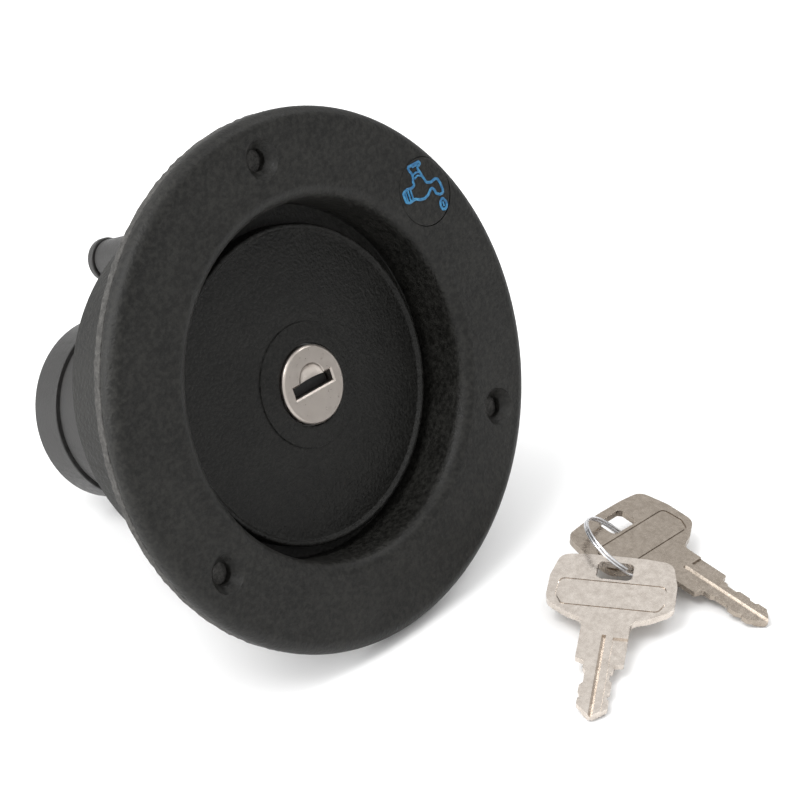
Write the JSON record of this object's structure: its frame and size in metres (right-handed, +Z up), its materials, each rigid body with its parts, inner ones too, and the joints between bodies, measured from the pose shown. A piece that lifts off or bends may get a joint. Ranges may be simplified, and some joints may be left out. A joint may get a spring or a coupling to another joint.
{
  "type": "lockable water filler",
  "caption": "Black plastic deck filler with a recessed locking cap, a rear hose spout and vent nipple, and two nickel keys on a split ring",
  "frame": {"origin": "on the bench, plumb below the middle of the flange's front plane, with the fitting lying on its flange rim and the end of its spout", "axes": "+Z is up, the flange faces -Y and leans back 22 degrees, and X = 0 is the fitting's plane of symmetry"},
  "size_m": [0.1192, 0.1537, 0.1031],
  "materials": {
    "black_plastic": "fine grained moulded black plastic",
    "gasket_rubber": "rough black sheet rubber",
    "seal_rubber": "smooth black rubber",
    "blue_print": "blue print",
    "lock_nickel": "satin nickel plate",
    "zinc_alloy": "cast zinc alloy",
    "bright_steel": "bright plated steel",
    "wafer_brass": "stamped brass",
    "shutter_black": "black",
    "key_nickel": "warm nickel plate"
  },
  "bodies": {
    "housing": {"mounting_flange": "black_plastic", "panel_gasket": "gasket_rubber", "rear_adapter": "black_plastic", "symbol_disc": "black_plastic", "tap_symbol": "blue_print", "drop_symbol": "blue_print"},
    "cap": {"cap_cover": "black_plastic", "cap_body": "black_plastic", "cap_seal": "seal_rubber", "cap_screw_1": "bright_steel", "cap_screw_2": "bright_steel", "cap_screw_3": "bright_steel", "lock_barrel": "zinc_alloy", "barrel_nut": "bright_steel", "bolt_spring_left": "bright_steel", "bolt_spring_right": "bright_steel"},
    "lock": {"lock_plug": "lock_nickel", "wafer_1": "wafer_brass", "wafer_2": "wafer_brass", "wafer_3": "wafer_brass", "wafer_4": "wafer_brass", "drive_cam": "zinc_alloy", "cam_screw": "bright_steel"},
    "shutter": {"slot_shutter": "shutter_black"},
    "bolt_left": {"bolt_left": "zinc_alloy"},
    "bolt_right": {"bolt_right": "zinc_alloy"},
    "key_ring": {"key_ring": "bright_steel"},
    "front_key": {"front_key": "key_nickel"},
    "rear_key": {"rear_key": "key_nickel"}
  },
  "joints": [
    {"name": "cap_lift", "type": "slide", "parent": "housing", "child": "cap", "axis": [0, -0.9268, 0.3755], "range_m": [0, 0.06]},
    {"name": "lock_turn", "type": "hinge", "parent": "cap", "child": "lock", "pos_m": [0, 0.01356, 0.04661], "axis": [0, 0.9268, -0.3755], "range_deg": [0, 90]},
    {"name": "shutter_swing", "type": "hinge", "parent": "lock", "child": "shutter", "pos_m": [0, 0.00881, 0.05059], "axis": [1, 0, 0], "range_deg": [0, 80], "stiffness_Nm_per_rad": 0.00001, "springref_deg": -28.65},
    {"name": "bolt_left_slide", "type": "slide", "parent": "cap", "child": "bolt_left", "axis": [-1, 0, 0], "range_m": [0, 0.0033], "deforming": ["bolt_spring_left"]},
    {"name": "bolt_right_slide", "type": "slide", "parent": "cap", "child": "bolt_right", "axis": [1, 0, 0], "range_m": [0, 0.0033], "deforming": ["bolt_spring_right"]},
    {"name": "ring_lift", "type": "slide", "parent": "housing", "child": "key_ring", "axis": [0, 0, 1], "range_m": [0, 0.03]},
    {"name": "front_key_swing", "type": "hinge", "parent": "key_ring", "child": "front_key", "pos_m": [0.0357, -0.0443, 0.00653], "axis": [0, 0, 1], "range_deg": [-6, 12]},
    {"name": "rear_key_swing", "type": "hinge", "parent": "key_ring", "child": "rear_key", "pos_m": [0.0511, -0.033, 0.00594], "axis": [0, 0, 1], "range_deg": [-4, 4]}
  ],
  "couplings": [
    {"joint": "bolt_left_slide", "follows": "lock_turn", "m_per_rad": 0.0020372},
    {"joint": "bolt_right_slide", "follows": "lock_turn", "m_per_rad": 0.0020372}
  ]
}
